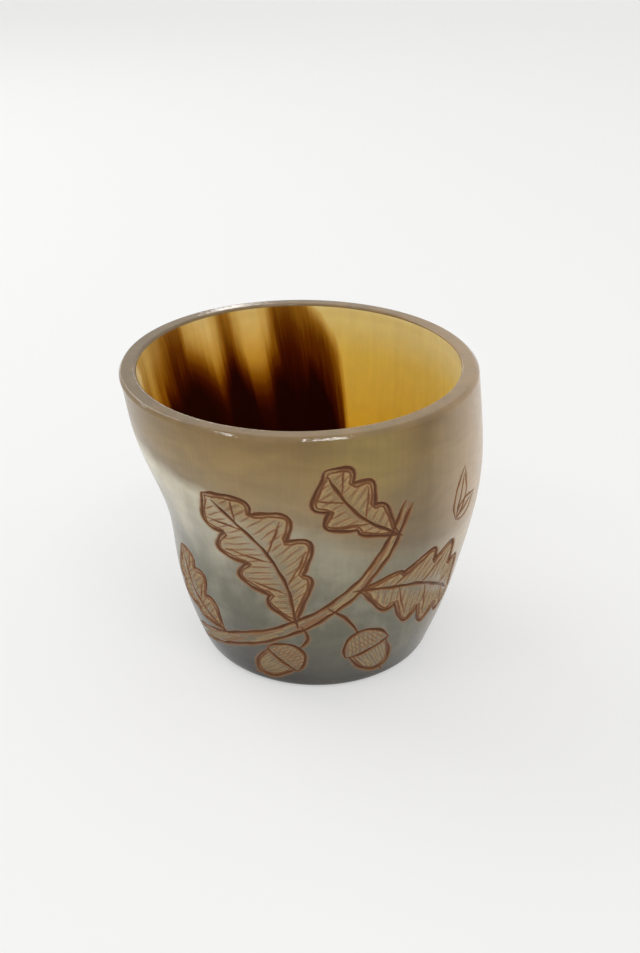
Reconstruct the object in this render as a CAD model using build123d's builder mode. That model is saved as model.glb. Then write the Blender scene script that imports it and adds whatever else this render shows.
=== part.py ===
"""Horn drinking cup.

An oval tube of ox horn, open at both ends, with a rounded lip.  A bevelled disc of horn springs into a
groove cut round the inside near the foot, and a bead of wax seals the corner above it.
The origin is the middle of the foot ring, on the surface the cup stands on.  +Z is up, +X runs along the
oval's length and -Y is the engraved front.  All sizes are in millimetres.
"""

import os

from build123d import *

# Rises between the stations of the horn wall, from the foot up to the rim
FLARE_RISE = 14.0
WAIST_RISE = 16.0
BELLY_RISE = 13.0
SHOULDER_RISE = 12.0
RIM_RISE = 20.0

# Outside length of the oval along X at each station
FOOT_LENGTH = 58.8
FLARE_LENGTH = 68.7
WAIST_LENGTH = 75.0
BELLY_LENGTH = 79.1
SHOULDER_LENGTH = 84.2
RIM_LENGTH = 86.3

# Outside width of the oval along Y at each station
FOOT_WIDTH = 60.0
FLARE_WIDTH = 67.8
WAIST_WIDTH = 75.2
BELLY_WIDTH = 80.4
SHOULDER_WIDTH = 84.4
RIM_WIDTH = 87.2

# How far each oval is pushed along X from the middle of the foot, because the horn is curved
FLARE_SHIFT = 0.1
WAIST_SHIFT = 0.9
BELLY_SHIFT = 1.2
SHOULDER_SHIFT = -1.0
RIM_SHIFT = -4.1

# Wall of the horn, thicker towards the tip end that the foot was cut from
WALL_AT_FOOT = 5.0
WALL_AT_RIM = 4.2

# Rounded edges
LIP_OUTER_RADIUS = 1.7
LIP_INNER_RADIUS = 1.0
FOOT_OUTER_RADIUS = 1.5
FOOT_INNER_RADIUS = 0.8

# Base disc, its bevelled edge and the groove that holds it
DISC_RECESS = 2.5
DISC_THICKNESS = 4.0
DISC_EDGE_INSET = 0.4
GROOVE_DEPTH = 1.6
DISC_CLEARANCE = 0.05

# Wax bead in the corner between the disc and the wall
SEAL_WIDTH = 3.0
SEAL_HEIGHT = 3.0
SEAL_FEATHER = 0.4
SEAL_CLEARANCE = 0.05

# Height between the ovals that the horn wall is lofted through
LOFT_STEP = 5.0

RISES = [0.0, FLARE_RISE, WAIST_RISE, BELLY_RISE, SHOULDER_RISE, RIM_RISE]
STATIONS = [sum(RISES[: i + 1]) for i in range(len(RISES))]
LENGTHS = [FOOT_LENGTH, FLARE_LENGTH, WAIST_LENGTH, BELLY_LENGTH, SHOULDER_LENGTH, RIM_LENGTH]
WIDTHS = [FOOT_WIDTH, FLARE_WIDTH, WAIST_WIDTH, BELLY_WIDTH, SHOULDER_WIDTH, RIM_WIDTH]
SHIFTS = [0.0, FLARE_SHIFT, WAIST_SHIFT, BELLY_SHIFT, SHOULDER_SHIFT, RIM_SHIFT]
CUP_HEIGHT = STATIONS[-1]

DISC_BOTTOM = DISC_RECESS
DISC_MIDDLE = DISC_RECESS + DISC_THICKNESS / 2
DISC_TOP = DISC_RECESS + DISC_THICKNESS
SEAL_TOP = DISC_TOP + SEAL_HEIGHT


def slope(measures, i):
    """Slope of a measure at station i, from its neighbours."""
    below = max(i - 1, 0)
    above = min(i + 1, len(STATIONS) - 1)
    return (measures[above] - measures[below]) / (STATIONS[above] - STATIONS[below])


def at_height(measures, height):
    """A measure at any height, on the smooth cubic curve through its stations."""
    i = max(k for k in range(len(STATIONS) - 1) if k == 0 or STATIONS[k] <= height)
    rise = STATIONS[i + 1] - STATIONS[i]
    t = (height - STATIONS[i]) / rise
    start = measures[i] * (1 + 2 * t) * (1 - t) ** 2 + slope(measures, i) * rise * t * (1 - t) ** 2
    end = measures[i + 1] * t**2 * (3 - 2 * t) - slope(measures, i + 1) * rise * t**2 * (1 - t)
    return start + end


def wall_at(height):
    """Thickness of the horn wall at a height."""
    return WALL_AT_FOOT + (WALL_AT_RIM - WALL_AT_FOOT) * height / CUP_HEIGHT


def oval(height, inset=0.0):
    """The horn's outer oval at a height, brought in all round by an inset, as a back and a front arc."""
    middle = (at_height(SHIFTS, height), 0)
    half_length = at_height(LENGTHS, height) / 2 - inset
    half_width = at_height(WIDTHS, height) / 2 - inset
    with BuildSketch(Plane.XY.offset(height)) as outline:
        with BuildLine():
            EllipticalCenterArc(middle, half_length, half_width, 0, arc_size=180)
            EllipticalCenterArc(middle, half_length, half_width, 180, arc_size=180)
        make_face()
    return outline.sketch


def bore_oval(height, inset=0.0):
    """The oval of the horn's inside at a height, brought in all round by an inset."""
    return oval(height, wall_at(height) + inset)


loft_count = max(len(STATIONS), round(CUP_HEIGHT / LOFT_STEP))
loft_heights = [CUP_HEIGHT * i / loft_count for i in range(loft_count + 1)]

# Horn wall: the tube, its rounded lip and foot, and the groove for the disc
with BuildPart() as horn_wall:
    loft([oval(height) for height in loft_heights])
    loft([bore_oval(height) for height in loft_heights], mode=Mode.SUBTRACT)
    lip = horn_wall.faces().sort_by(Axis.Z)[-1]
    fillet(lip.outer_wire().edges(), LIP_OUTER_RADIUS)
    lip = horn_wall.faces().sort_by(Axis.Z)[-1]
    fillet(lip.inner_wires()[0].edges(), LIP_INNER_RADIUS)
    foot = horn_wall.faces().sort_by(Axis.Z)[0]
    fillet(foot.outer_wire().edges(), FOOT_OUTER_RADIUS)
    foot = horn_wall.faces().sort_by(Axis.Z)[0]
    fillet(foot.inner_wires()[0].edges(), FOOT_INNER_RADIUS)
    loft(
        [
            bore_oval(DISC_BOTTOM, DISC_EDGE_INSET),
            bore_oval(DISC_MIDDLE, -GROOVE_DEPTH),
            bore_oval(DISC_TOP, DISC_EDGE_INSET),
        ],
        ruled=True,
        mode=Mode.SUBTRACT,
    )

# Base disc: flat faces and a bevelled edge that fills the groove
with BuildPart() as base_disc:
    loft(
        [
            bore_oval(DISC_BOTTOM, DISC_EDGE_INSET + DISC_CLEARANCE),
            bore_oval(DISC_MIDDLE, DISC_CLEARANCE - GROOVE_DEPTH),
            bore_oval(DISC_TOP, DISC_EDGE_INSET + DISC_CLEARANCE),
        ],
        ruled=True,
    )

# Base seal: a bead that lies on the disc and runs up the wall to a thin feather edge
with BuildPart() as base_seal:
    loft([bore_oval(DISC_TOP, SEAL_CLEARANCE), bore_oval(SEAL_TOP, SEAL_CLEARANCE)], ruled=True)
    loft(
        [bore_oval(DISC_TOP, SEAL_WIDTH), bore_oval(SEAL_TOP, SEAL_FEATHER)],
        ruled=True,
        mode=Mode.SUBTRACT,
    )

os.makedirs("parts", exist_ok=True)
horn_wall.part.label = "horn_wall"
export_step(horn_wall.part, "parts/horn_wall.step")
base_disc.part.label = "base_disc"
export_step(base_disc.part, "parts/base_disc.step")
base_seal.part.label = "base_seal"
export_step(base_seal.part, "parts/base_seal.step")
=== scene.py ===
"""Horn drinking cup: the looks of its wall, base disc and wax seal, in metres, in the CAD model's frame."""

import math

import bpy
import numpy as np
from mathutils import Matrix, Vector


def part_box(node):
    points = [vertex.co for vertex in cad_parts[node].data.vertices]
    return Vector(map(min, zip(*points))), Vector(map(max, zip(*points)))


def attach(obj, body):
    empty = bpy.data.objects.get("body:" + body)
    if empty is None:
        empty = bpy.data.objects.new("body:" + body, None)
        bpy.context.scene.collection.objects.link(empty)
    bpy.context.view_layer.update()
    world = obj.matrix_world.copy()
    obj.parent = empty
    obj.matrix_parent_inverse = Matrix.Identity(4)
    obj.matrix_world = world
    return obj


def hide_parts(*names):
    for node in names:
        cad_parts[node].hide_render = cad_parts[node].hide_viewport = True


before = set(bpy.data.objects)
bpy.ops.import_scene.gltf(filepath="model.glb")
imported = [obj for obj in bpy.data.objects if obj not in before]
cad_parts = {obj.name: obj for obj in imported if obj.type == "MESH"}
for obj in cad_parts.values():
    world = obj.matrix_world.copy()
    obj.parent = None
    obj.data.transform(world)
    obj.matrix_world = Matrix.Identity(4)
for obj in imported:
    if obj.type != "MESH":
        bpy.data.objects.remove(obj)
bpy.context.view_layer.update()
bpy.ops.object.select_all(action="DESELECT")


# Horn wall
# A length of ox horn sawn off, pared down outside, scraped inside and polished by hand.
# Its lip and foot are rounded over, and a V groove near the foot holds the base disc.

MM = 0.001
COLUMNS = 192
LIP_CHAMFER = 0.9 * MM
LIP_CORNER = 0.3 * MM
LIP_DEPTH = LIP_CHAMFER + LIP_CORNER
LIP_INNER_RADIUS = 0.6 * MM
LIP_POINTS = 6
FLAT_ENDS = (0.1, 0.9)
FOOT_OUTER_RADIUS = 1.5 * MM
FOOT_INNER_RADIUS = 0.8 * MM
FOOT_POINTS = 5
OUTSIDE_STEP = 1.2 * MM
BORE_STEP = 3.0 * MM
GROOVE_CLEARANCE = 0.05 * MM
PROBE_MARGIN = 1.8 * MM
PROBE_COUNT = 26
CURVE_DEGREE = 8

wall_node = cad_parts["horn_wall"]
wall_low, wall_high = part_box("horn_wall")
disc_low, disc_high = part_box("base_disc")
seal_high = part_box("base_seal")[1]
cup_height = wall_high.z
lip_start = cup_height - LIP_DEPTH
chamfer_start = cup_height - LIP_CHAMFER
bore_top = cup_height - LIP_INNER_RADIUS
probe_reach = 2 * cup_height


def cad_hit(start, towards):
    """The point where a probe from a start point first meets the CAD wall."""
    direction = Vector(towards) - Vector(start)
    return wall_node.ray_cast(Vector(start), direction.normalized())[1]


def probe(height):
    """Centre, half length, half width and wall thickness of the CAD wall at a height."""
    axis = (0.0, 0.0, height)
    left = cad_hit((-probe_reach, 0.0, height), axis).x
    right = cad_hit((probe_reach, 0.0, height), axis).x
    centre = (left + right) / 2
    front = cad_hit((centre, -probe_reach, height), (centre, 0.0, height)).y
    bore = cad_hit((centre, 0.0, height), (probe_reach, 0.0, height)).x
    return centre, (right - left) / 2, -front, right - bore


# The probes miss the rounded edges. The curves fitted to them are smooth, without the CAD mesh's facets.
fit = np.polynomial.Polynomial.fit
probe_heights = np.linspace(FOOT_OUTER_RADIUS, cup_height - PROBE_MARGIN, PROBE_COUNT)
probes = np.array([probe(height) for height in probe_heights])
centre_at = fit(probe_heights, probes[:, 0], CURVE_DEGREE)
half_length_at = fit(probe_heights, probes[:, 1], CURVE_DEGREE)
half_width_at = fit(probe_heights, probes[:, 2], CURVE_DEGREE)
above_seal = probe_heights > seal_high.z
wall_at = fit(probe_heights[above_seal], probes[above_seal, 3], 1)


def oval(height, inset):
    """Height, centre and half axes of the horn's outer oval, brought in by an inset."""
    half_length = half_length_at(height) - inset
    half_width = half_width_at(height) - inset
    return float(height), float(centre_at(height)), float(half_length), float(half_width)


def quarter(count):
    """Sines and cosines of a quarter turn, for a rounded edge."""
    angles = np.linspace(0.0, math.pi / 2, count)
    return list(zip(np.sin(angles), np.cos(angles)))


def soft_corner(before, corner, after):
    """A rounded corner of a profile, as points on a curve from the side before it to the side after it."""
    before, corner, after = np.array(before), np.array(corner), np.array(after)
    shares = np.linspace(0.0, 1.0, LIP_POINTS)
    return [tuple(before * (1 - t) ** 2 + corner * 2 * t * (1 - t) + after * t**2) for t in shares]


def flat_between(start, end):
    """Two points near the ends of a flat side of a profile, which keep it flat up to its rounded corners."""
    start, end = np.array(start), np.array(end)
    return [tuple(start + (end - start) * share) for share in FLAT_ENDS]


def ring_shell(name, ovals):
    """An open shell of ovals, each extruded from the one before, left in edit mode."""
    height, centre, half_length, half_width = ovals[0]
    bpy.ops.object.select_all(action="DESELECT")
    bpy.ops.mesh.primitive_circle_add(vertices=COLUMNS, radius=1.0)
    shell = bpy.context.object
    shell.name = name
    shell.data.name = name
    bpy.ops.object.mode_set(mode="EDIT")
    bpy.ops.mesh.select_mode(type="VERT")
    bpy.ops.mesh.select_all(action="SELECT")
    bpy.ops.transform.resize(value=(half_length, half_width, 1.0), center_override=(0.0, 0.0, 0.0))
    bpy.ops.transform.translate(value=(centre, 0.0, height))
    for next_height, next_centre, next_length, next_width in ovals[1:]:
        step = (next_centre - centre, 0.0, next_height - height)
        bpy.ops.mesh.extrude_region_move(TRANSFORM_OT_translate={"value": step})
        grow = (next_length / half_length, next_width / half_width, 1.0)
        bpy.ops.transform.resize(value=grow, center_override=(next_centre, 0.0, next_height))
        height, centre, half_length, half_width = next_height, next_centre, next_length, next_width
    return shell


def close_ring():
    """Joins a shell's last oval to its first and turns its faces outwards."""
    bpy.ops.mesh.select_all(action="DESELECT")
    bpy.ops.mesh.select_non_manifold()
    bpy.ops.mesh.bridge_edge_loops()
    bpy.ops.mesh.select_all(action="SELECT")
    bpy.ops.mesh.normals_make_consistent(inside=False)
    bpy.ops.object.mode_set(mode="OBJECT")


wall_at_rim = float(wall_at(cup_height))
wall_at_foot = float(wall_at(0.0))
disc_middle = (disc_low.z + disc_high.z) / 2
groove_reach = (disc_high.x - disc_low.x) / 2 + GROOVE_CLEARANCE
groove_inset = float(half_length_at(disc_middle)) - groove_reach
outside_count = round((lip_start - FOOT_OUTER_RADIUS) / OUTSIDE_STEP)
outside_rows = np.linspace(FOOT_OUTER_RADIUS, lip_start, outside_count + 1)[1:]
bore_count = round((bore_top - disc_high.z) / BORE_STEP)
bore_rows = np.linspace(bore_top, disc_high.z, bore_count + 1)[1:]

wall_profile = [
    (FOOT_OUTER_RADIUS * (1 - c), FOOT_OUTER_RADIUS * (1 - s)) for s, c in quarter(FOOT_POINTS)
]
wall_profile += [(height, 0.0) for height in outside_rows]
lip_cut = LIP_CORNER * math.sqrt(0.5)
lip_below = soft_corner((lip_start, 0.0), (chamfer_start, 0.0), (chamfer_start + lip_cut, lip_cut))
lip_above = soft_corner(
    (cup_height - lip_cut, LIP_CHAMFER - lip_cut), (cup_height, LIP_CHAMFER), (cup_height, LIP_DEPTH)
)
lip_inside = [
    (cup_height - LIP_INNER_RADIUS * (1 - c), wall_at_rim - LIP_INNER_RADIUS * (1 - s))
    for s, c in quarter(LIP_POINTS)
]
wall_profile += lip_below[1:] + flat_between(lip_below[-1], lip_above[0])
wall_profile += lip_above + flat_between(lip_above[-1], lip_inside[0]) + lip_inside
wall_profile += [(height, float(wall_at(height))) for height in bore_rows]
wall_profile += [(disc_middle, groove_inset), (disc_low.z, float(wall_at(disc_low.z)))]
wall_profile += [
    (FOOT_INNER_RADIUS * (1 - s), wall_at_foot - FOOT_INNER_RADIUS * (1 - c))
    for s, c in quarter(FOOT_POINTS)
]

horn_wall = ring_shell("horn_wall_carved", [oval(height, inset) for height, inset in wall_profile])
close_ring()


# Engraving on the front of the horn wall
# An oak sprig cut with a small gouge and a scratching point, then rubbed with brown stain.
# Each cut is a line on the unrolled front, in millimetres round from its middle and up from the foot.

GOUGE = {"width": 1.1, "depth": 0.5, "stain": 1.0, "scrape": 0.0, "halo": 1.0}
FINE_GOUGE = {"width": 0.65, "depth": 0.28, "stain": 0.85, "scrape": 0.1, "halo": 0.6}
SCRATCH = {"width": 0.45, "depth": 0.16, "stain": 0.0, "scrape": 1.0, "halo": 0.0}
DARK_SCRATCH = {"width": 0.5, "depth": 0.2, "stain": 0.5, "scrape": 0.2, "halo": 0.0}
TINY = 1e-6
CUT_STEP = 0.8
HAND_WOBBLE = 0.11
SLOW_SWAY = 0.45
QUICK_SWAY = 1.3
QUICK_SHARE = 0.6

cuts = []
washes = []
hand = np.random.default_rng(5)


def cut(line, tool, aside=0.0):
    """Notes a line to be carved with a tool, with the wobble of a hand, and moved aside for a second pass."""
    line = np.array(line, float)
    travelled = np.concatenate([[0.0], np.cumsum(np.linalg.norm(np.diff(line, axis=0), axis=1))])
    even = np.linspace(0.0, travelled[-1], max(3, round(travelled[-1] / CUT_STEP) + 1))
    line = np.stack([np.interp(even, travelled, line[:, 0]), np.interp(even, travelled, line[:, 1])], axis=1)
    heading = np.gradient(line, axis=0)
    heading /= np.maximum(np.linalg.norm(heading, axis=1), TINY)[:, None]
    across = np.stack([-heading[:, 1], heading[:, 0]], axis=1)
    start, slow, quick = hand.uniform(0.0, 2 * np.pi, 3)
    sway = np.sin(even * SLOW_SWAY + slow) + QUICK_SHARE * np.sin(even * QUICK_SWAY + quick)
    cuts.append((line + across * (aside + HAND_WOBBLE * sway)[:, None], tool, start))


def smooth_line(points, steps=8):
    """A smooth line through given points."""
    points = np.array(points, float)
    ends = np.vstack([2 * points[0] - points[1], points, 2 * points[-1] - points[-2]])
    t = np.linspace(0.0, 1.0, steps, endpoint=False)[:, None]
    spans = [
        b + (c - a) * t / 2 + (2 * a - 5 * b + 4 * c - d) * t**2 / 2 + (3 * b - a - 3 * c + d) * t**3 / 2
        for a, b, c, d in zip(ends, ends[1:], ends[2:], ends[3:])
    ]
    return np.vstack(spans + [points[-1:]])


LOBE_DEPTH = 0.48
LOBE_STAGGER = 0.12
LOBE_ROUND = 0.75
LOBE_LEAN = 0.45
LOBE_POINTS = 24
LEAF_WIDEST = 1.2
LEAF_FULL = 0.65
SECOND_PASS = 0.85
PAINTED_HIGHLIGHT_PASS = 1.45
VEIN_REACH = 0.8
HATCH_SPACING = 0.62
HATCH_FROM = (0.06, 0.25)
HATCH_TO = (0.75, 0.97)


def oak_leaf(root, tip, bend, half_width, lobes):
    """A lobed leaf: outline, a pale scratch inside it as a painted highlight, midrib, a vein to each lobe and
    hatching beside the veins.
    """
    root, tip = np.array(root, float), np.array(tip, float)
    length = np.linalg.norm(tip - root)
    along = (tip - root) / length
    across = np.array([-along[1], along[0]])

    def spine(u):
        return root + np.outer(u, along * length) + np.outer(np.sin(np.pi * u), across * bend)

    def edge(u, side, share=1.0):
        bulge = np.abs(np.sin(np.pi * (lobes * u + LOBE_STAGGER * side))) ** LOBE_ROUND
        lobe = 1 - LOBE_DEPTH + LOBE_DEPTH * bulge
        reach = share * half_width * np.sin(np.pi * u**LEAF_WIDEST) ** LEAF_FULL * lobe
        return spine(u) + np.outer(reach, side * across) + np.outer(reach * (1 - u), LOBE_LEAN * along)

    whole = np.linspace(0.0, 1.0, LOBE_POINTS * lobes + 1)
    washes.append(np.vstack([edge(whole, 1.0), edge(whole, -1.0)[::-1]]))
    cut(spine(np.linspace(-0.04, 0.94, 20)), GOUGE)
    for side in (-1.0, 1.0):
        cut(edge(whole, side), GOUGE)
        cut(edge(whole, side), FINE_GOUGE, aside=-SECOND_PASS * side)
        # A pale scratch inside the outline, a painted highlight along the cut's edge.
        cut(edge(whole, side), SCRATCH, aside=-PAINTED_HIGHLIGHT_PASS * side)
        for lobe in range(lobes):
            middle = (lobe + 0.5 - LOBE_STAGGER * side) / lobes
            vein_root = spine(np.array([max(middle - 0.5 / lobes, 0.02)]))
            vein_tip = edge(np.array([min(middle, 0.97)]), side, VEIN_REACH)
            cut(np.vstack([vein_root, vein_tip]), FINE_GOUGE)
        for i, u in enumerate(np.arange(0.06, 0.97, HATCH_SPACING / length)):
            here = np.array([u])
            near, far = hand.uniform(*HATCH_FROM), hand.uniform(*HATCH_TO)
            tool = DARK_SCRATCH if i % 3 == 1 else SCRATCH
            cut(np.vstack([edge(here, side, near), edge(here, side, far)]), tool)


ACORN_CUP = 0.38
NUT_WIDTH = 0.84
NUT_END = 0.92
NUT_ROUND = 0.8
NUT_PASS = 0.8


def acorn(root, tip, half_width):
    """A nut in its scaly cup, with the nut hatched along its length and the cup cross-hatched."""
    root, tip = np.array(root, float), np.array(tip, float)
    length = np.linalg.norm(tip - root)
    along = (tip - root) / length
    across = np.array([-along[1], along[0]])

    def place(u, v):
        return root + np.outer(u, along * length) + np.outer(v, across * half_width)

    turn = np.linspace(0.0, np.pi, 25)
    nut = place(ACORN_CUP + (NUT_END - ACORN_CUP) * np.sin(turn) ** NUT_ROUND, NUT_WIDTH * np.cos(turn))
    cup = place(ACORN_CUP * (1 - np.sin(turn)), np.cos(turn))
    washes.append(np.vstack([nut, cup[::-1]]))
    cut(nut, GOUGE)
    cut(nut, FINE_GOUGE, aside=-NUT_PASS)
    cut(place([0.9, 1.03], [0.0, 0.0]), FINE_GOUGE)
    cut(cup, GOUGE)
    cut(place(ACORN_CUP + 0.05 * np.sin(turn), np.cos(turn)), GOUGE)
    for v in np.linspace(-0.62, 0.62, 9):
        far = ACORN_CUP + (0.86 - ACORN_CUP) * math.sqrt(1 - v * v) ** NUT_ROUND
        cut(place([ACORN_CUP + 0.09, far], [v, v * 0.72]), SCRATCH)
    for v in np.linspace(-0.8, 0.5, 8):
        low = ACORN_CUP * (1 - math.sqrt(1 - v * v)) + 0.04
        cut(place([low, ACORN_CUP], [v, v + 0.3]), DARK_SCRATCH)
        cut(place([low, ACORN_CUP], [-v, -v - 0.3]), SCRATCH)


BARK_PLACES = (-0.55, -0.2, 0.15, 0.5)
BARK_SPACING = 5
BARK_LENGTHS = (4, 8)


def twig(points, thick, thin):
    """A branch with two edges and broken bark strokes along it."""
    line = smooth_line(points)
    heading = np.gradient(line, axis=0)
    heading /= np.linalg.norm(heading, axis=1)[:, None]
    across = np.stack([-heading[:, 1], heading[:, 0]], axis=1)
    half = np.linspace(thick / 2, thin / 2, len(line))[:, None]
    washes.append(np.vstack([line + across * half, (line - across * half)[::-1]]))
    cut(line + across * half, GOUGE)
    cut(line - across * half, GOUGE)
    for i, share in enumerate(BARK_PLACES):
        stroke = line + across * half * share
        for begin in range(i % 3, len(line) - BARK_LENGTHS[0], BARK_SPACING):
            tool = DARK_SCRATCH if (begin + i) % 2 else SCRATCH
            cut(stroke[begin : begin + hand.integers(*BARK_LENGTHS)], tool)


def plain_leaf(root, tip, half_width):
    """A small pointed leaf with a midrib."""
    root, tip = np.array(root, float), np.array(tip, float)
    along = tip - root
    across = np.array([-along[1], along[0]]) / np.linalg.norm(along)
    u = np.linspace(0.0, 1.0, 17)
    swell = np.sin(np.pi * u**0.8) * half_width
    cut(root + np.outer(u, along) + np.outer(swell, across), FINE_GOUGE)
    cut(root + np.outer(u, along) - np.outer(swell, across), FINE_GOUGE)
    cut(np.vstack([root, root + along * 0.85]), FINE_GOUGE)


twig([(-36, 7), (-21, 13), (-6, 21), (6, 31), (15, 43), (23, 56)], thick=4.4, thin=1.8)
oak_leaf(root=(-5, 23), tip=(-25, 58), bend=-4.0, half_width=12.5, lobes=4)
oak_leaf(root=(9, 33), tip=(41, 19), bend=4.0, half_width=12.5, lobes=4)
oak_leaf(root=(19, 48), tip=(5, 67), bend=2.5, half_width=8.5, lobes=3)
oak_leaf(root=(-24, 14), tip=(-42, 34), bend=3.0, half_width=8.0, lobes=3)
cut(smooth_line([(2, 28), (7, 24), (10, 19)]), GOUGE)
cut(smooth_line([(-4, 22), (-2, 18), (-4, 14)]), GOUGE)
acorn(root=(10, 19), tip=(17, 3), half_width=6.0)
acorn(root=(-4, 14), tip=(-15, 3), half_width=5.4)
plain_leaf(root=(37, 45), tip=(43, 58), half_width=2.4)
plain_leaf(root=(37, 45), tip=(47, 49), half_width=2.2)

SKIN = 0.3 * MM
CUT_MARGIN = 0.87
CUT_DIVISIONS = 5
CUT_TAPER = 3.0
TAPER_SHARE = 0.3
END_WIDTH = 0.45
END_DEPTH = 0.4
PRESSURE_SWING = 0.2
PRESSURE_WAVE = 0.9
HALO_REACH = 1.2


def read_places(elements, what):
    """The places of a mesh's vertices, or the middles of its faces, as rows of X, Y and Z."""
    flat = np.empty(len(elements) * 3)
    elements.foreach_get(what, flat)
    return flat.reshape(-1, 3)


def turn_from_front(points):
    """How far round from the middle of the front points stand, in radians."""
    heights = points[:, 2]
    along = (points[:, 0] - centre_at(heights)) / half_length_at(heights)
    return np.arctan2(along, -points[:, 1] / half_width_at(heights))


def unroll(points):
    """The millimetres round the front and up from the foot of points on the outside."""
    heights = points[:, 2]
    mean_radius = (half_length_at(heights) + half_width_at(heights)) / 2
    return np.stack([turn_from_front(points) * mean_radius, heights], axis=1) / MM


def depth_inside(points):
    """The distance of points inwards from the horn's outer oval."""
    heights = points[:, 2]
    along = (points[:, 0] - centre_at(heights)) / half_length_at(heights)
    return (1 - np.hypot(along, points[:, 1] / half_width_at(heights))) * half_length_at(heights)


def nearest_on(line, places):
    """How far each place is from a line, how far along its nearest point lies, and the line's length."""
    starts, spans = line[:-1], np.diff(line, axis=0)
    lengths = np.maximum(np.linalg.norm(spans, axis=1), TINY)
    offsets = places[:, None, :] - starts[None, :, :]
    share = np.clip((offsets * spans).sum(axis=2) / lengths**2, 0.0, 1.0)
    gaps = np.linalg.norm(offsets - share[:, :, None] * spans, axis=2)
    best = gaps.argmin(axis=1)
    rows = np.arange(len(places))
    travelled = np.concatenate([[0.0], np.cumsum(lengths)])
    return gaps[rows, best], travelled[best] + share[rows, best] * lengths[best], travelled[-1]


def near_line(line, places, margin):
    """The indices of the places inside a line's box, grown by a margin."""
    low, high = line.min(axis=0) - margin, line.max(axis=0) + margin
    return np.nonzero(((places > low) & (places < high)).all(axis=1))[0]


def within_outline(outline, places):
    """Whether each place lies inside a closed outline, by the crossings to its right."""
    across, up = places[:, 0, None], places[:, 1, None]
    (from_across, from_up), (to_across, to_up) = outline.T, np.roll(outline, -1, axis=0).T
    spans = (from_up > up) != (to_up > up)
    rise = np.where(to_up == from_up, 1.0, to_up - from_up)
    crossing = from_across + (up - from_up) / rise * (to_across - from_across)
    return (spans & (across < crossing)).sum(axis=1) % 2 == 1


# The faces under and beside the cuts are divided finely, and only those.
wall_mesh = horn_wall.data
face_middles = read_places(wall_mesh.polygons, "center")
on_front = (depth_inside(face_middles) < SKIN) & (face_middles[:, 1] < 0)
face_places = unroll(face_middles)
to_divide = np.zeros(len(face_middles), bool)
for line, tool, start in cuts:
    found = near_line(line, face_places, CUT_MARGIN + tool["width"])
    if len(found):
        gap, travelled, length = nearest_on(line, face_places[found])
        to_divide[found[gap < tool["width"] / 2 + CUT_MARGIN]] = True

bpy.ops.object.mode_set(mode="EDIT")
bpy.ops.mesh.select_mode(type="FACE")
bpy.ops.mesh.select_all(action="DESELECT")
bpy.ops.object.mode_set(mode="OBJECT")
wall_mesh.polygons.foreach_set("select", to_divide & on_front)
bpy.ops.object.mode_set(mode="EDIT")
bpy.ops.mesh.subdivide(number_cuts=CUT_DIVISIONS, ngon=False)
bpy.ops.object.mode_set(mode="OBJECT")

# Each cut presses its groove into the outside and leaves its stain, scrape and halo there.
points = read_places(wall_mesh.vertices, "co")
straight_wall = (points[:, 2] > FOOT_OUTER_RADIUS) & (points[:, 2] < lip_start)
outer = np.nonzero(straight_wall & (depth_inside(points) < SKIN))[0]
heights = points[outer, 2]
turn = turn_from_front(points[outer])
outward = np.stack([np.sin(turn) / half_length_at(heights), -np.cos(turn) / half_width_at(heights)], axis=1)
outward /= np.linalg.norm(outward, axis=1)[:, None]
places = unroll(points[outer])
groove = np.zeros(len(outer))
marks = {name: np.zeros(len(outer)) for name in ("stain", "scrape", "wash", "halo")}
for line, tool, start in cuts:
    found = near_line(line, places, HALO_REACH)
    if not len(found):
        continue
    gap, travelled, length = nearest_on(line, places[found])
    from_end = np.minimum(travelled, length - travelled)
    taper = np.clip(from_end / min(CUT_TAPER, TAPER_SHARE * length), 0.0, 1.0)
    pressure = 1 + PRESSURE_SWING * np.sin(travelled * PRESSURE_WAVE + start)
    half = tool["width"] / 2 * pressure * (END_WIDTH + (1 - END_WIDTH) * taper)
    inside = np.clip(1 - (gap / half) ** 2, 0.0, 1.0)
    spread = np.clip(1 - gap / HALO_REACH, 0.0, 1.0)
    for values, left in (
        (groove, tool["depth"] * (END_DEPTH + (1 - END_DEPTH) * taper) * inside),
        (marks["stain"], tool["stain"] * inside),
        (marks["scrape"], tool["scrape"] * np.sqrt(inside)),
        (marks["halo"], tool["halo"] * taper * spread),
    ):
        values[found] = np.maximum(values[found], left)
for outline in washes:
    found = near_line(outline, places, 0.0)
    marks["wash"][found[within_outline(outline, places[found])]] = 1.0

points[outer, 0] = centre_at(heights) + half_length_at(heights) * np.sin(turn)
points[outer, 1] = -half_width_at(heights) * np.cos(turn)
points[outer, :2] -= outward * (groove * MM)[:, None]
wall_mesh.vertices.foreach_set("co", points.ravel())
for name, values in marks.items():
    everywhere = np.zeros(len(points), np.float32)
    everywhere[outer] = values
    wall_mesh.attributes.new("cut_" + name, "FLOAT", "POINT").data.foreach_set("value", everywhere)
wall_mesh.update()
bpy.ops.object.shade_smooth()


def hex_colour(code):
    """A linear colour from an sRGB hex code."""
    parts = [int(code[i : i + 2], 16) / 255 for i in (1, 3, 5)]
    linear = [p / 12.92 if p <= 0.04045 else ((p + 0.055) / 1.055) ** 2.4 for p in parts]
    return (*linear, 1.0)


def grey(value):
    """A colour that carries one number, for a ramp that isn't seen as a colour."""
    return (value, value, value, 1.0)


def add(tree, kind, inputs=None, stops=(), **settings):
    """Adds a node with its settings, links or values for its inputs, and any colour stops."""
    node = tree.nodes.new("ShaderNode" + kind)
    for name, value in settings.items():
        setattr(node, name, value)
    for key, value in (inputs or {}).items():
        if isinstance(value, bpy.types.NodeSocket):
            tree.links.new(value, node.inputs[key])
        else:
            node.inputs[key].default_value = value
    for i, (position, colour) in enumerate(stops):
        ramp = node.color_ramp.elements
        stop = ramp[i] if i < 2 else ramp.new(position)
        stop.position = position
        stop.color = colour
    return node


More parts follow.
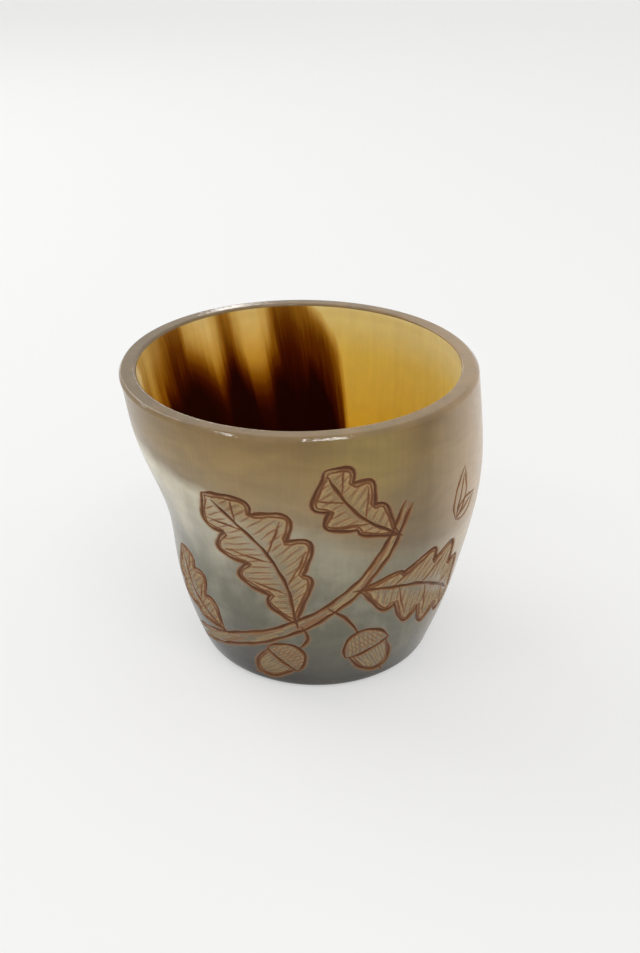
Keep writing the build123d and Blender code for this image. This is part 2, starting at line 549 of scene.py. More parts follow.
def new_material(name):
    """A material with an empty tree but for its output and shader."""
    material = bpy.data.materials.new(name)
    material.use_nodes = True
    return material, material.node_tree, material.node_tree.nodes["Principled BSDF"]


# The Mix node's sockets for colours
MIX_A, MIX_B, MIX_RESULT = 6, 7, 2
STREAK_FROM = math.radians(-30.0)
STREAK_TO = math.radians(95.0)
STREAK_FRAY = math.radians(4.0)
FRAY_SIZE = 1.5 * MM
HAIR_SIZE = 0.9 * MM
STREAK_SLOPE = math.radians(9.5)
SLOPE_DEPTH = 0.42
SLOPE_FROM, SLOPE_TO = 0.12, -0.06
STREAK_FLOOD_HEIGHT = 38 * MM
DARK_AT_LIP, DARK_GAIN = 0.52, 0.68
FLOOD_SPAN, FLOOD_DARK = 0.7, 0.8
BORE_RADIUS = 40 * MM
BEND_HEIGHT = 36 * MM


def streaks_and_painted_shade(tree):
    """How dark the horn's brown streaks are, from 0 to 1, by the turn round from the back and the height,
    with painted shade in the gaps on the left and a painted shadow of the lip on the bore's left side.
    """
    coords = add(tree, "TexCoord").outputs["Object"]
    parts = add(tree, "SeparateXYZ", {0: coords}).outputs
    bend = {1: BEND_HEIGHT, 2: cup_height, 3: centre_at(BEND_HEIGHT), 4: centre_at(cup_height)}
    middle = add(tree, "MapRange", {"Value": parts["Z"], **bend}).outputs[0]
    leftwards = add(tree, "Math", {0: middle, 1: parts["X"]}, operation="SUBTRACT").outputs[0]
    turn = add(tree, "Math", {0: leftwards, 1: parts["Y"]}, operation="ARCTAN2").outputs[0]
    depth = add(
        tree, "MapRange", {"Value": parts["Z"], 1: cup_height, 2: STREAK_FLOOD_HEIGHT, 3: 0.0, 4: 1.0}
    ).outputs[0]
    near_top = add(tree, "MapRange", {"Value": depth, 1: 0.0, 2: SLOPE_DEPTH, 3: 1.0, 4: 0.0}).outputs[0]
    curving = add(tree, "Math", {0: near_top, 1: 2.0}, operation="POWER").outputs[0]
    right_side = add(
        tree, "MapRange", {"Value": turn, 1: SLOPE_FROM, 2: SLOPE_TO, 3: 0.0, 4: STREAK_SLOPE}
    ).outputs[0]
    slope = add(tree, "Math", {0: curving, 1: right_side}, operation="MULTIPLY").outputs[0]
    sloped = add(tree, "Math", {0: turn, 1: slope}, operation="SUBTRACT").outputs[0]
    round_bore = add(tree, "Math", {0: turn, 1: BORE_RADIUS}, operation="MULTIPLY").outputs[0]
    unrolled = add(tree, "CombineXYZ", {"X": round_bore, "Z": parts["Z"]}).outputs[0]
    fibres = add(tree, "Mapping", {"Vector": unrolled, "Scale": (1.0, 1.0, 0.05)}).outputs[0]
    fray = add(tree, "TexNoise", {"Vector": fibres, "Scale": 1 / FRAY_SIZE, "Detail": 4.0}).outputs["Fac"]
    frayed = add(tree, "Math", {0: fray, 1: STREAK_FRAY, 2: sloped}, operation="MULTIPLY_ADD").outputs[0]
    ends = {1: STREAK_FROM + STREAK_FRAY / 2, 2: STREAK_TO + STREAK_FRAY / 2}
    across = add(tree, "MapRange", {"Value": frayed, **ends}).outputs[0]

    def stop(degrees, value):
        share = (math.radians(degrees) - STREAK_FROM) / (STREAK_TO - STREAK_FROM)
        return share, grey(value)

    # From right to left: the wide streak at the back, the narrow one, and the pair at the left. The gaps on
    # the left keep a little painted shade, and from 75 degrees on the stops are partly the streak and partly
    # a painted shadow of the lip.
    bands = add(
        tree,
        "ValToRGB",
        {"Fac": across},
        stops=[
            stop(-14, 0.0),
            stop(-12.5, 0.3),
            stop(-11, 0.55),
            stop(-10, 0.66),
            stop(-7.5, 0.82),
            stop(-3, 0.9),
            stop(0, 0.86),
            stop(4, 1.0),
            stop(11, 1.0),
            stop(13, 0.72),
            stop(15, 0.38),
            stop(18, 0.16),
            stop(20, 0.12),
            stop(25, 0.16),
            stop(30, 0.68),
            stop(32.5, 0.9),
            stop(35, 0.7),
            stop(37.5, 0.3),
            stop(40, 0.12),
            stop(45, 0.16),
            stop(50, 0.35),
            stop(53, 0.7),
            stop(55, 0.95),
            stop(61, 1.0),
            stop(65, 0.85),
            stop(70, 0.66),
            stop(75, 0.63),
            stop(80, 0.38),
            stop(85, 0.55),
            stop(90, 0.5),
            stop(94, 0.0),
        ],
    ).outputs[0]
    # How far down the dark between and under the streaks begins
    flood_from = add(
        tree,
        "ValToRGB",
        {"Fac": across},
        stops=[
            stop(-11, 1.0),
            stop(-5, 0.5),
            stop(0, 0.3),
            stop(5, 0.9),
            stop(10, 0.5),
            stop(15, 0.12),
            stop(20, 0.2),
            stop(30, 0.2),
            stop(35, 0.22),
            stop(40, 0.14),
            stop(45, 0.0),
            stop(50, 0.0),
            stop(55, 0.22),
            stop(60, 0.35),
            stop(65, 0.35),
            stop(70, 0.2),
            stop(75, 0.6),
            stop(80, 1.0),
        ],
    ).outputs[0]
    hair = add(tree, "TexNoise", {"Vector": fibres, "Scale": 1 / HAIR_SIZE, "Detail": 3.0}).outputs["Fac"]
    hairy = add(tree, "MapRange", {"Value": hair, 1: 0.3, 2: 0.7, 3: 0.92, 4: 1.07}).outputs[0]
    darkened = add(
        tree, "Math", {0: depth, 1: DARK_GAIN, 2: DARK_AT_LIP}, operation="MULTIPLY_ADD"
    ).outputs[0]
    shaded = add(tree, "Math", {0: darkened, 1: hairy}, operation="MULTIPLY").outputs[0]
    below = add(tree, "Math", {0: depth, 1: flood_from}, operation="SUBTRACT").outputs[0]
    flood = {"Value": below, 1: 0.0, 2: FLOOD_SPAN, 3: 0.0, 4: FLOOD_DARK}
    flooded = add(tree, "MapRange", flood, interpolation_type="SMOOTHSTEP").outputs[0]
    both = add(tree, "Math", {0: bands, 1: shaded, 2: flooded}, operation="MULTIPLY_ADD", use_clamp=True)
    return both.outputs[0], coords, parts


# Polished horn outside: grey and milky low down, tea brown above, cloudy within, under a hand-rubbed gloss,
# with a painted sheen in a band on its left and right sides.
# Real horn fibres are about 0.2 mm wide, too fine to show, so they are drawn coarser.
HORN_IOR = 1.54
CLOUD_SIZE = 15 * MM
CLOUD_SHIFT = 12 * MM
MILK_SIZE = 8 * MM
SWIRL_SIZE = 16 * MM
FIBRE_SIZE = 0.8 * MM
FIBRE_STRETCH = (1.0, 1.0, 0.06)
LIP_BLOTCH_SIZE = 5 * MM
RUB_SIZE = 9 * MM
TOOL_MARK_SIZE = 1.6 * MM
TOOL_MARK_DEPTH = 0.12 * MM
SHADE_PLACE = (25 * MM, -30 * MM, 50 * MM)
OLIVE_PLACE = (11 * MM, -40 * MM, 70 * MM)

outside_horn, tree, shader = new_material("polished_horn_outside")
dark, coords, parts = streaks_and_painted_shade(tree)
clouds_at = add(tree, "Mapping", {"Vector": coords, "Scale": (1.0, 1.0, 0.6)}).outputs[0]
clouds = add(tree, "TexNoise", {"Vector": clouds_at, "Scale": 1 / CLOUD_SIZE, "Detail": 4.0}).outputs["Fac"]
slanted = add(tree, "Math", {0: parts["X"], 1: 0.25, 2: parts["Z"]}, operation="MULTIPLY_ADD").outputs[0]
clouded = add(tree, "Math", {0: clouds, 1: CLOUD_SHIFT, 2: slanted}, operation="MULTIPLY_ADD").outputs[0]
level = add(tree, "MapRange", {"Value": clouded, 1: 6 * MM, 2: 86 * MM}).outputs[0]
body = add(
    tree,
    "ValToRGB",
    {"Fac": level},
    stops=[
        (0.0, hex_colour("#302C24")),
        (0.08, hex_colour("#49463C")),
        (0.22, hex_colour("#5D5A49")),
        (0.42, hex_colour("#706C59")),
        (0.57, hex_colour("#888169")),
        (0.65, hex_colour("#8A7654")),
        (0.76, hex_colour("#947A4A")),
        (0.85, hex_colour("#937740")),
        (0.92, hex_colour("#7E6226")),
        (1.0, hex_colour("#7A5E22")),
    ],
).outputs[0]
milk = add(tree, "TexNoise", {"Vector": clouds_at, "Scale": 1 / MILK_SIZE, "Detail": 6.0}).outputs["Fac"]
milky = add(tree, "MapRange", {"Value": milk, 1: 0.5, 2: 0.72, 3: 0.0, 4: 0.32}).outputs[0]
lower = add(
    tree,
    "ValToRGB",
    {"Fac": level},
    stops=[(0.12, grey(0.0)), (0.28, grey(1.0)), (0.5, grey(1.0)), (0.6, grey(0.0))],
).outputs[0]
milk_share = add(tree, "Math", {0: milky, 1: lower}, operation="MULTIPLY").outputs[0]
# A pale haze on the left and right sides, partly the horn's milky cloud and partly a painted sheen of the
# white room.
from_left = add(tree, "MapRange", {"Value": parts["X"], 1: -40 * MM, 2: 40 * MM}).outputs[0]
sides = add(
    tree,
    "ValToRGB",
    {"Fac": from_left},
    stops=[(0.0, grey(0.9)), (0.26, grey(0.9)), (0.5, grey(0.1)), (0.78, grey(0.1)), (0.92, grey(0.6))],
).outputs[0]
band = add(
    tree,
    "ValToRGB",
    {"Fac": level},
    stops=[(0.36, grey(0.0)), (0.53, grey(0.7)), (0.6, grey(1.0)), (0.645, grey(0.0))],
).outputs[0]
haze_and_sheen = add(tree, "Math", {0: sides, 1: band}, operation="MULTIPLY").outputs[0]
wisps = add(tree, "MapRange", {"Value": milk, 1: 0.3, 2: 0.6, 3: 0.6, 4: 1.0}).outputs[0]
haze_and_sheen_share = add(tree, "Math", {0: haze_and_sheen, 1: wisps}, operation="MULTIPLY").outputs[0]
shade_off = add(tree, "VectorMath", {0: coords, 1: SHADE_PLACE}, operation="DISTANCE").outputs["Value"]
shade_share = add(tree, "MapRange", {"Value": shade_off, 1: 8 * MM, 2: 22 * MM, 3: 0.6, 4: 0.0}).outputs[0]
olive_off = add(tree, "VectorMath", {0: coords, 1: OLIVE_PLACE}, operation="DISTANCE").outputs["Value"]
olive_share = add(tree, "MapRange", {"Value": olive_off, 1: 4 * MM, 2: 14 * MM, 3: 0.75, 4: 0.0}).outputs[0]
collar_share = add(
    tree, "MapRange", {"Value": parts["Z"], 1: 65 * MM, 2: 72 * MM, 3: 0.0, 4: 0.5}
).outputs[0]
blush_share = add(
    tree, "MapRange", {"Value": parts["X"], 1: 25 * MM, 2: 41 * MM, 3: 0.0, 4: 0.85}
).outputs[0]
# The bore's streaks show faintly through the outside, and with them the painted shade that they carry.
veiled_streak_and_shade_share = add(tree, "Math", {0: dark, 1: 0.75}, operation="MULTIPLY").outputs[0]
for share, colour in (
    (milk_share, "#B6B099"),
    (haze_and_sheen_share, "#D3CBB4"),
    (shade_share, "#625138"),
    (collar_share, "#6E5424"),
    (olive_share, "#947D3C"),
    (blush_share, "#CBB091"),
    (veiled_streak_and_shade_share, "#3A2A1C"),
):
    layer = {0: share, MIX_A: body, MIX_B: hex_colour(colour)}
    body = add(tree, "Mix", layer, data_type="RGBA").outputs[MIX_RESULT]

fibres_at = add(tree, "Mapping", {"Vector": coords, "Scale": FIBRE_STRETCH}).outputs[0]
fibres = add(tree, "TexNoise", {"Vector": fibres_at, "Scale": 1 / FIBRE_SIZE, "Detail": 3.0}).outputs["Fac"]
swirl_turn = {"Rotation": (0.0, 0.2, 0.0), "Scale": (1.0, 1.0, 2.6)}
swirl_at = add(tree, "Mapping", {"Vector": coords, **swirl_turn}).outputs[0]
swirls = add(
    tree, "TexNoise", {"Vector": swirl_at, "Scale": 1 / SWIRL_SIZE, "Detail": 3.0, "Distortion": 0.8}
).outputs["Fac"]
streaming = add(tree, "Math", {0: fibres, 1: 0.3, 2: swirls}, operation="MULTIPLY_ADD").outputs[0]
fibre_light = add(tree, "MapRange", {"Value": streaming, 1: 0.45, 2: 0.85, 3: 0.88, 4: 1.12}).outputs[0]
body = add(tree, "VectorMath", {0: body, "Scale": fibre_light}, operation="SCALE").outputs[0]

lip = add(tree, "MapRange", {"Value": parts["Z"], 1: lip_start, 2: chamfer_start}).outputs[0]
lip_top = add(
    tree, "MapRange", {"Value": parts["Z"], 1: chamfer_start, 2: cup_height, 3: 0.3, 4: 0.75}
).outputs[0]
lip_share = add(tree, "Math", {0: lip, 1: lip_top}, operation="MULTIPLY").outputs[0]
lip_blotch = add(
    tree, "TexNoise", {"Vector": coords, "Scale": 1 / LIP_BLOTCH_SIZE, "Detail": 3.0}
).outputs["Fac"]
lip_side = add(
    tree, "MapRange", {"Value": parts["X"], 1: wall_low.x, 2: wall_high.x, 3: 0.0, 4: 0.4}
).outputs[0]
lip_tone = add(tree, "Math", {0: lip_blotch, 1: 0.6, 2: lip_side}, operation="MULTIPLY_ADD").outputs[0]
lip_colour = add(
    tree,
    "ValToRGB",
    {"Fac": lip_tone},
    stops=[(0.3, hex_colour("#6F5D43")), (0.5, hex_colour("#836D4E")), (0.7, hex_colour("#957B57"))],
).outputs[0]
washed, haloed, scraped, stained = [
    add(tree, "Attribute", attribute_name=name).outputs["Fac"]
    for name in ("cut_wash", "cut_halo", "cut_scrape", "cut_stain")
]
wash_share = add(tree, "Math", {0: washed, 1: 0.55}, operation="MULTIPLY").outputs[0]
halo_share = add(tree, "Math", {0: haloed, 1: 0.55}, operation="MULTIPLY").outputs[0]
# Pale scratches, and pale lines inside the outlines that are painted highlights along the cuts.
scrape_and_highlight_share = add(tree, "Math", {0: scraped, 1: 0.58}, operation="MULTIPLY").outputs[0]
patchy = add(tree, "MapRange", {"Value": milk, 1: 0.3, 2: 0.65, 3: 0.7, 4: 1.0}).outputs[0]
stain_amount = add(tree, "Math", {0: stained, 1: patchy}, operation="MULTIPLY").outputs[0]
stain_share = add(tree, "MapRange", {"Value": stain_amount, 1: 0.0, 2: 0.35}).outputs[0]
stain_colour = add(
    tree,
    "ValToRGB",
    {"Fac": stain_amount},
    stops=[(0.15, hex_colour("#966A40")), (0.45, hex_colour("#7E5330")), (0.9, hex_colour("#5E3C28"))],
).outputs[0]
for share, colour in (
    (lip_share, lip_colour),
    (wash_share, hex_colour("#78603A")),
    (halo_share, hex_colour("#8F683F")),
    (scrape_and_highlight_share, hex_colour("#BA9860")),
    (stain_share, stain_colour),
):
    layer = {0: share, MIX_A: body, MIX_B: colour}
    body = add(tree, "Mix", layer, data_type="RGBA").outputs[MIX_RESULT]

rub = add(tree, "TexNoise", {"Vector": coords, "Scale": 1 / RUB_SIZE, "Detail": 1.0}).outputs["Fac"]
rubbed = add(tree, "MapRange", {"Value": rub, 1: 0.3, 2: 0.7, 3: 0.21, 4: 0.26}).outputs[0]
worn = add(tree, "Math", {0: lip, 1: -0.15, 2: rubbed}, operation="MULTIPLY_ADD").outputs[0]
gloss = add(tree, "Math", {0: scraped, 1: 0.25, 2: worn}, operation="MULTIPLY_ADD").outputs[0]
tool_marks = add(
    tree, "TexNoise", {"Vector": coords, "Scale": 1 / TOOL_MARK_SIZE, "Detail": 4.0}
).outputs["Fac"]
on_lip = add(tree, "Math", {0: lip, 1: 0.5}, operation="MULTIPLY").outputs[0]
grain = add(
    tree, "Bump", {"Height": tool_marks, "Strength": on_lip, "Distance": TOOL_MARK_DEPTH}
).outputs[0]
shine = add(tree, "MapRange", {"Value": stained, 1: 0.1, 2: 0.7, 3: 0.5, 4: 0.1}).outputs[0]
for socket, link in (
    ("Base Color", body),
    ("Roughness", gloss),
    ("Normal", grain),
    ("Specular IOR Level", shine),
):
    tree.links.new(link, shader.inputs[socket])
shader.inputs["IOR"].default_value = HORN_IOR
shader.inputs["Subsurface Weight"].default_value = 0.35
shader.inputs["Subsurface Radius"].default_value = (1.0, 0.65, 0.3)
shader.inputs["Subsurface Scale"].default_value = 2.5 * MM

# Scraped horn in the bore: clear amber that lets light through, with brown streaks that close to black below,
# and painted shade on its left side.
# Its fibres too are drawn coarser than they are, so that they show.
BORE_FIBRE_SIZE = 1.6 * MM
BORE_BLOTCH_SIZE = 4 * MM
AMBER_FOOT = 20 * MM

bore_horn, tree, shader = new_material("scraped_horn_bore")
dark, coords, parts = streaks_and_painted_shade(tree)
amber_level = add(tree, "MapRange", {"Value": parts["Z"], 1: AMBER_FOOT, 2: cup_height}).outputs[0]
amber = add(
    tree,
    "ValToRGB",
    {"Fac": amber_level},
    stops=[
        (0.0, hex_colour("#B98622")),
        (0.4, hex_colour("#DDB84D")),
        (0.75, hex_colour("#DDC06C")),
        (0.93, hex_colour("#D9C697")),
        (1.0, hex_colour("#BEAA85")),
    ],
).outputs[0]
tint = add(
    tree,
    "ValToRGB",
    {"Fac": dark},
    stops=[
        (0.0, hex_colour("#FFFFFF")),
        (0.14, hex_colour("#F2E4C6")),
        (0.28, hex_colour("#E4D29C")),
        (0.45, hex_colour("#BA8E38")),
        (0.6, hex_colour("#844C08")),
        (0.75, hex_colour("#5A2004")),
        (0.88, hex_colour("#3C0A00")),
        (1.0, hex_colour("#2A0300")),
    ],
).outputs[0]
streaked = add(
    tree, "Mix", {0: 1.0, MIX_A: amber, MIX_B: tint}, data_type="RGBA", blend_type="MULTIPLY"
).outputs[MIX_RESULT]
fibres_at = add(tree, "Mapping", {"Vector": coords, "Scale": FIBRE_STRETCH}).outputs[0]
fibres = add(
    tree, "TexNoise", {"Vector": fibres_at, "Scale": 1 / BORE_FIBRE_SIZE, "Detail": 3.0}
).outputs["Fac"]
blotches = add(
    tree, "TexNoise", {"Vector": coords, "Scale": 1 / BORE_BLOTCH_SIZE, "Detail": 4.0}
).outputs["Fac"]
mottle = add(tree, "Math", {0: fibres, 1: blotches}, operation="ADD").outputs[0]
fibre_light = add(tree, "MapRange", {"Value": mottle, 1: 0.7, 2: 1.3, 3: 0.94, 4: 1.04}).outputs[0]
bore_colour = add(tree, "VectorMath", {0: streaked, "Scale": fibre_light}, operation="SCALE").outputs[0]
clear = add(tree, "MapRange", {"Value": dark, 1: 0.0, 2: 0.85, 3: 1.0, 4: 0.0}).outputs[0]
tree.links.new(bore_colour, shader.inputs["Base Color"])
tree.links.new(clear, shader.inputs["Subsurface Weight"])
shader.inputs["Roughness"].default_value = 0.35
shader.inputs["Specular IOR Level"].default_value = 0.04
shader.inputs["IOR"].default_value = HORN_IOR
shader.inputs["Subsurface Radius"].default_value = (1.0, 0.9, 0.5)
shader.inputs["Subsurface Scale"].default_value = 14.0 * MM

BORE_SKIN = 0.35 * MM
wall_mesh.materials.append(outside_horn)
wall_mesh.materials.append(bore_horn)
face_middles = read_places(wall_mesh.polygons, "center")
face_heights = face_middles[:, 2]
in_bore = depth_inside(face_middles) > wall_at(face_heights) - BORE_SKIN
in_bore &= (face_heights > disc_low.z) & (face_heights < bore_top)
wall_mesh.polygons.foreach_set("material_index", in_bore.astype(np.int32))

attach(horn_wall, "root")
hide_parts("horn_wall")


# Base disc
# A round of horn, pressed flat while hot and pared to a bevelled edge, which springs into the groove.
# Both faces are scraped by hand, so they dip a little towards the middle.

DISC_EDGE_INSET = 0.45 * MM
DISC_EDGE_ROUND = 0.35 * MM
DISC_DIP = 0.4 * MM
FACE_SHARES = (0.015, 0.15, 0.3, 0.45, 0.6, 0.75, 0.88, 0.96)
SHARP_ANGLE = math.radians(30.0)


def shrunk(rim, share, height):
    """A copy of an oval, drawn in towards its middle and put at another height."""
    centre, half_length, half_width = rim[1:]
    return height, centre, half_length * share, half_width * share


def close_poles():
    """Draws a shell's first and last ovals together to a point each and turns its faces outwards."""
    bpy.ops.mesh.select_all(action="DESELECT")
    bpy.ops.mesh.select_non_manifold()
    bpy.ops.mesh.merge(type="COLLAPSE")
    bpy.ops.mesh.select_all(action="SELECT")
    bpy.ops.mesh.normals_make_consistent(inside=False)
    bpy.ops.object.mode_set(mode="OBJECT")


under_inset = float(wall_at(disc_low.z)) + DISC_EDGE_INSET
upper_inset = float(wall_at(disc_high.z)) + DISC_EDGE_INSET
under_rim = oval(disc_low.z, under_inset + DISC_EDGE_ROUND)
upper_rim = oval(disc_high.z, upper_inset + DISC_EDGE_ROUND)
disc_ovals = [shrunk(under_rim, share, disc_low.z + DISC_DIP * (1 - share**2)) for share in FACE_SHARES]
disc_ovals += [under_rim, oval(disc_low.z + DISC_EDGE_ROUND, under_inset)]
disc_ovals += [oval(disc_middle, groove_inset + GROOVE_CLEARANCE)]
disc_ovals += [oval(disc_high.z - DISC_EDGE_ROUND, upper_inset), upper_rim]
disc_ovals += [
    shrunk(upper_rim, share, disc_high.z - DISC_DIP * (1 - share**2)) for share in reversed(FACE_SHARES)
]
base_disc = ring_shell("base_disc_scraped", disc_ovals)
close_poles()
bpy.ops.object.shade_smooth_by_angle(angle=SHARP_ANGLE)

# Pressed horn: dark brown leaves of horn squeezed together, with a wavy grain and fine scrape marks one way.
LEAF_SIZE = 5 * MM
SCRAPE_SIZE = 0.7 * MM
SCRAPE_DEPTH = 0.1 * MM
LEAVES_RUN = {"Rotation": (0.0, 0.0, 0.5), "Scale": (0.16, 1.0, 1.0)}
SCRAPES_RUN = {"Rotation": (0.0, 0.0, 1.2), "Scale": (0.05, 1.0, 1.0)}

pressed_horn, tree, shader = new_material("pressed_horn_disc")
coords = add(tree, "TexCoord").outputs["Object"]
leaves_at = add(tree, "Mapping", {"Vector": coords, **LEAVES_RUN}).outputs[0]
leaves = add(
    tree, "TexNoise", {"Vector": leaves_at, "Scale": 1 / LEAF_SIZE, "Detail": 6.0, "Distortion": 0.6}
).outputs["Fac"]
horn_tone = add(
    tree,
    "ValToRGB",
    {"Fac": leaves},
    stops=[
        (0.28, hex_colour("#2E1A0A")),
        (0.45, hex_colour("#573415")),
        (0.58, hex_colour("#6E4A22")),
        (0.75, hex_colour("#8C6B38")),
    ],
).outputs[0]
scrapes_at = add(tree, "Mapping", {"Vector": coords, **SCRAPES_RUN}).outputs[0]
scrapes = add(
    tree, "TexNoise", {"Vector": scrapes_at, "Scale": 1 / SCRAPE_SIZE, "Detail": 2.0}
).outputs["Fac"]
scraped_gloss = add(tree, "MapRange", {"Value": scrapes, 1: 0.3, 2: 0.7, 3: 0.28, 4: 0.46}).outputs[0]
scrape_bump = add(tree, "Bump", {"Height": scrapes, "Strength": 0.35, "Distance": SCRAPE_DEPTH}).outputs[0]
for socket, link in (("Base Color", horn_tone), ("Roughness", scraped_gloss), ("Normal", scrape_bump)):
    tree.links.new(link, shader.inputs[socket])
shader.inputs["IOR"].default_value = HORN_IOR
shader.inputs["Subsurface Weight"].default_value = 0.2
shader.inputs["Subsurface Radius"].default_value = (1.0, 0.6, 0.3)
shader.inputs["Subsurface Scale"].default_value = 2.0 * MM
base_disc.data.materials.append(pressed_horn)

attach(base_disc, "root")
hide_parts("base_disc")


# Wax seal
# Beeswax melted with resin and run round the corner above the disc with a hot iron, so the cup holds water.
# It sets as a hollow fillet with an uneven edge.

SEAL_CLEARANCE = 0.05 * MM
SEAL_FEATHER = 0.4 * MM
SEAL_WIDTH = 3.0 * MM
SEAL_POINTS = 9
HOLLOW_FROM = 0.8 * SEAL_FEATHER
WAX_LUMP = 5.0 * MM
WAX_UNEVEN = 0.7 * MM

seal_height = seal_high.z - disc_high.z
seal_profile = [(disc_high.z + SEAL_CLEARANCE, SEAL_CLEARANCE), (seal_high.z, SEAL_CLEARANCE)]
seal_profile += [
    (seal_high.z - seal_height * s, SEAL_FEATHER + (SEAL_WIDTH - SEAL_FEATHER) * (1 - c))
    for s, c in quarter(SEAL_POINTS)
]
base_seal = ring_shell(
    "base_seal_run", [oval(height, float(wall_at(height)) + inset) for height, inset in seal_profile]
)
close_ring()
points = read_places(base_seal.data.vertices, "co")
off_wall = depth_inside(points) - wall_at(points[:, 2])
hollow = base_seal.vertex_groups.new(name="hollow_side")
hollow.add(np.nonzero(off_wall > HOLLOW_FROM)[0].tolist(), 1.0, "REPLACE")
lumps = bpy.data.textures.new("wax_lumps", "CLOUDS")
lumps.noise_scale = WAX_LUMP
bpy.ops.object.modifier_add(type="DISPLACE")
uneven = base_seal.modifiers[-1]
uneven.texture = lumps
uneven.strength = WAX_UNEVEN
uneven.mid_level = 0.5
uneven.vertex_group = hollow.name
bpy.ops.object.modifier_apply(modifier=uneven.name)
bpy.ops.object.shade_smooth()

# Beeswax and resin: dark honey brown with a satin skin, cloudy where it cooled, letting a little light in.
BLOOM_SIZE = 4 * MM
WAX_SKIN_SIZE = 1.0 * MM
WAX_SKIN_DEPTH = 0.1 * MM

beeswax, tree, shader = new_material("dark_beeswax_resin")
coords = add(tree, "TexCoord").outputs["Object"]
bloom = add(tree, "TexNoise", {"Vector": coords, "Scale": 1 / BLOOM_SIZE, "Detail": 5.0}).outputs["Fac"]
wax_tone = add(
    tree,
    "ValToRGB",
    {"Fac": bloom},
    stops=[(0.3, hex_colour("#3A220C")), (0.55, hex_colour("#54340F")), (0.75, hex_colour("#75542A"))],
).outputs[0]
wax_gloss = add(tree, "MapRange", {"Value": bloom, 1: 0.3, 2: 0.7, 3: 0.36, 4: 0.55}).outputs[0]
skin = add(tree, "TexNoise", {"Vector": coords, "Scale": 1 / WAX_SKIN_SIZE, "Detail": 3.0}).outputs["Fac"]
wax_skin = add(tree, "Bump", {"Height": skin, "Strength": 0.3, "Distance": WAX_SKIN_DEPTH}).outputs[0]
for socket, link in (("Base Color", wax_tone), ("Roughness", wax_gloss), ("Normal", wax_skin)):
    tree.links.new(link, shader.inputs[socket])
shader.inputs["IOR"].default_value = 1.44
shader.inputs["Subsurface Weight"].default_value = 0.4
shader.inputs["Subsurface Radius"].default_value = (1.0, 0.6, 0.25)
shader.inputs["Subsurface Scale"].default_value = 1.5 * MM
base_seal.data.materials.append(beeswax)

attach(base_seal, "root")
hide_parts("base_seal")


# Studio floor
# A sheet of matte white paper that lies under the cup, runs back from it and curves up behind it.
# It glows a little to the eye alone, so that it looks white, and it keeps the cup's shadow.

FLOOR_HALF = 2.0
SWEEP_START = 1.3
SWEEP_RADIUS = 0.5
SWEEP_SEGMENTS = 24
BACKDROP_HEIGHT = 1.2
NEAR = 0.01
PAPER_GLOW = 0.5

floor_back = SWEEP_START + SWEEP_RADIUS
bpy.ops.object.select_all(action="DESELECT")
bpy.ops.mesh.primitive_plane_add(size=2 * FLOOR_HALF, location=(0.0, floor_back - FLOOR_HALF, 0.0))
floor = bpy.context.object
floor.name = "paper_floor"
bpy.ops.object.transform_apply(location=True)
bpy.ops.object.mode_set(mode="EDIT")
bpy.ops.mesh.select_mode(type="EDGE")


def select_back_edge():
    """Selects the edge where the floor meets the backdrop, and ends in edit mode."""
    bpy.ops.mesh.select_all(action="DESELECT")
    bpy.ops.object.mode_set(mode="OBJECT")
    for edge in floor.data.edges:
        ends = [floor.data.vertices[v].co for v in edge.vertices]
        edge.select = all(end.y > floor_back - NEAR and end.z < NEAR for end in ends)
    bpy.ops.object.mode_set(mode="EDIT")


select_back_edge()
bpy.ops.mesh.extrude_region_move(TRANSFORM_OT_translate={"value": (0.0, 0.0, BACKDROP_HEIGHT)})
select_back_edge()
bpy.ops.mesh.bevel(offset=SWEEP_RADIUS, segments=SWEEP_SEGMENTS)
bpy.ops.object.mode_set(mode="OBJECT")
bpy.ops.object.shade_smooth()

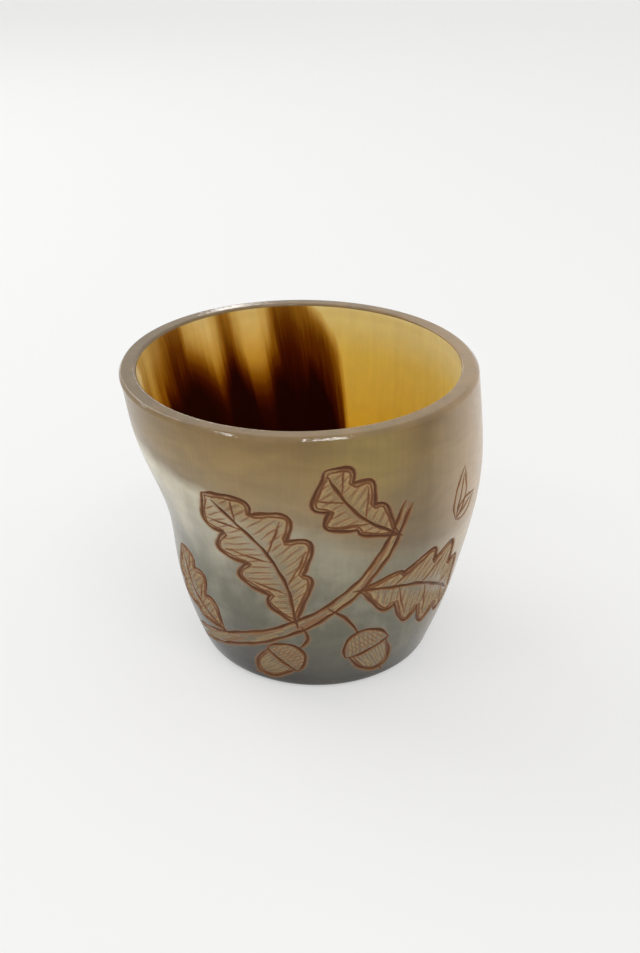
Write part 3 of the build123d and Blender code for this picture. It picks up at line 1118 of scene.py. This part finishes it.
# Matte paper: a flat white with hardly any sheen
paper, tree, shader = new_material("matte_white_paper")
shader.inputs["Base Color"].default_value = hex_colour("#F4F4F3")
shader.inputs["Roughness"].default_value = 0.9
shader.inputs["Specular IOR Level"].default_value = 0.2
rays = add(tree, "LightPath").outputs
seen = rays["Is Camera Ray"]
for ray in ("Is Glossy Ray", "Is Transmission Ray"):
    seen = add(tree, "Math", {0: seen, 1: rays[ray]}, operation="ADD", use_clamp=True).outputs[0]
glow_share = add(tree, "Math", {0: seen, 1: PAPER_GLOW}, operation="MULTIPLY").outputs[0]
glow = add(tree, "Emission", {"Color": hex_colour("#F3F3F2"), "Strength": 1.0}).outputs[0]
lit = add(tree, "MixShader", {0: glow_share, 1: shader.outputs[0], 2: glow}).outputs[0]
tree.links.new(lit, tree.nodes["Material Output"].inputs["Surface"])
floor.data.materials.append(paper)


# Light and camera
# Soft room light, a soft box at the back left, and small lamps that the lip reflects as short bright lines.
# The camera stands where the photograph was taken from.

ROOM_LIGHT = 0.8
CAMERA_LENS = 45.0
CAMERA_SENSOR = 36.0
CAMERA_PLACE = (1.0 * MM, -266.0 * MM, 184.0 * MM)
CAMERA_DIP = 27.9

world = bpy.data.worlds.new("soft_room")
bpy.context.scene.world = world
world.use_nodes = True
world.node_tree.nodes["Background"].inputs["Color"].default_value = (1.0, 1.0, 1.0, 1.0)
world.node_tree.nodes["Background"].inputs["Strength"].default_value = ROOM_LIGHT

lamp_target = Vector((0.0, 0.0, cup_height))
for name, place, width, depth, radiance in (
    ("soft_box_left", (-0.7, 0.5, 0.65), 0.7, 0.7, 2.0),
    ("lamp_middle", (0.178, -0.437, 0.807), 0.3, 0.035, 24.0),
    ("lamp_left", (-0.555, -0.351, 0.79), 0.2, 0.07, 10.0),
    ("lamp_behind", (-0.096, 0.978, 0.411), 0.042, 0.02, 18.0),
):
    lamp_data = bpy.data.lights.new(name, "AREA")
    lamp_data.shape = "RECTANGLE"
    lamp_data.size = width
    lamp_data.size_y = depth
    lamp_data.energy = radiance * math.pi * width * depth
    lamp = bpy.data.objects.new(name, lamp_data)
    lamp.location = place
    lamp.rotation_euler = (lamp_target - Vector(place)).to_track_quat("-Z", "Y").to_euler()
    bpy.context.scene.collection.objects.link(lamp)

camera_data = bpy.data.cameras.new("camera")
camera_data.lens = CAMERA_LENS
camera_data.sensor_width = CAMERA_SENSOR
camera = bpy.data.objects.new("camera", camera_data)
camera.location = CAMERA_PLACE
camera.rotation_euler = (math.radians(90.0 - CAMERA_DIP), 0.0, 0.0)
bpy.context.scene.collection.objects.link(camera)
bpy.context.scene.camera = camera
bpy.context.scene.view_settings.view_transform = "Standard"
